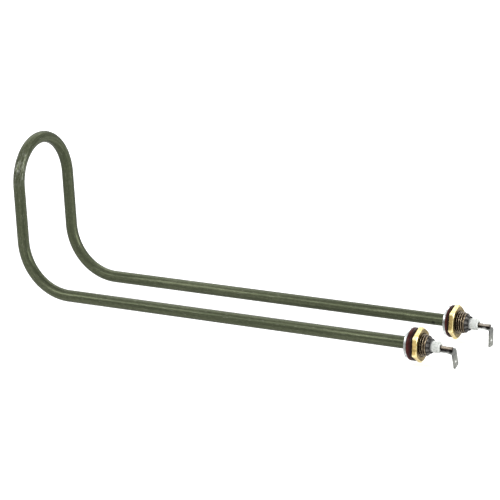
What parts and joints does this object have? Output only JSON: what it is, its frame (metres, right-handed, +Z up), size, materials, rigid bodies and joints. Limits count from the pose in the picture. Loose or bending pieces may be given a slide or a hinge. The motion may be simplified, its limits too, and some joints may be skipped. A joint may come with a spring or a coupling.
{
  "type": "tubular heating element",
  "caption": "Metal-sheathed tubular heater bent into a hairpin with an upturned closed end, with threaded tank glands, gaskets, nuts and spade tabs at its open end.",
  "frame": {"origin": "midway between the two glands, in the plane of the collars' front faces, on which the gaskets seat", "axes": "+X along the legs towards the terminals, +Y across the legs towards the rear leg, +Z up the turned-up closed end"},
  "size_m": [0.3271, 0.0814, 0.1179],
  "materials": {
    "sheath_steel": "satin, olive heat tint",
    "magnesia": "matte",
    "resistance_alloy": "satin",
    "pin_steel": "satin",
    "seal_resin": "matte",
    "bead_ceramic": "matte",
    "gland_brass": "machined, dulled",
    "collar_steel": "bright",
    "gasket_rubber": "satin",
    "nut_brass": "machined",
    "tab_steel": "satin"
  },
  "bodies": {
    "root": {"sheath": "sheath_steel", "magnesia_fill": "magnesia", "heating_coil": "resistance_alloy", "front_terminal_pin": "pin_steel", "front_end_seal": "seal_resin", "front_ceramic_bead": "bead_ceramic", "front_threaded_gland": "gland_brass", "front_collar": "collar_steel", "front_gasket": "gasket_rubber", "front_hex_nut": "nut_brass", "front_spade_tab": "tab_steel", "rear_terminal_pin": "pin_steel", "rear_end_seal": "seal_resin", "rear_ceramic_bead": "bead_ceramic", "rear_threaded_gland": "gland_brass", "rear_collar": "collar_steel", "rear_gasket": "gasket_rubber", "rear_hex_nut": "nut_brass", "rear_spade_tab": "tab_steel"}
  },
  "joints": []
}
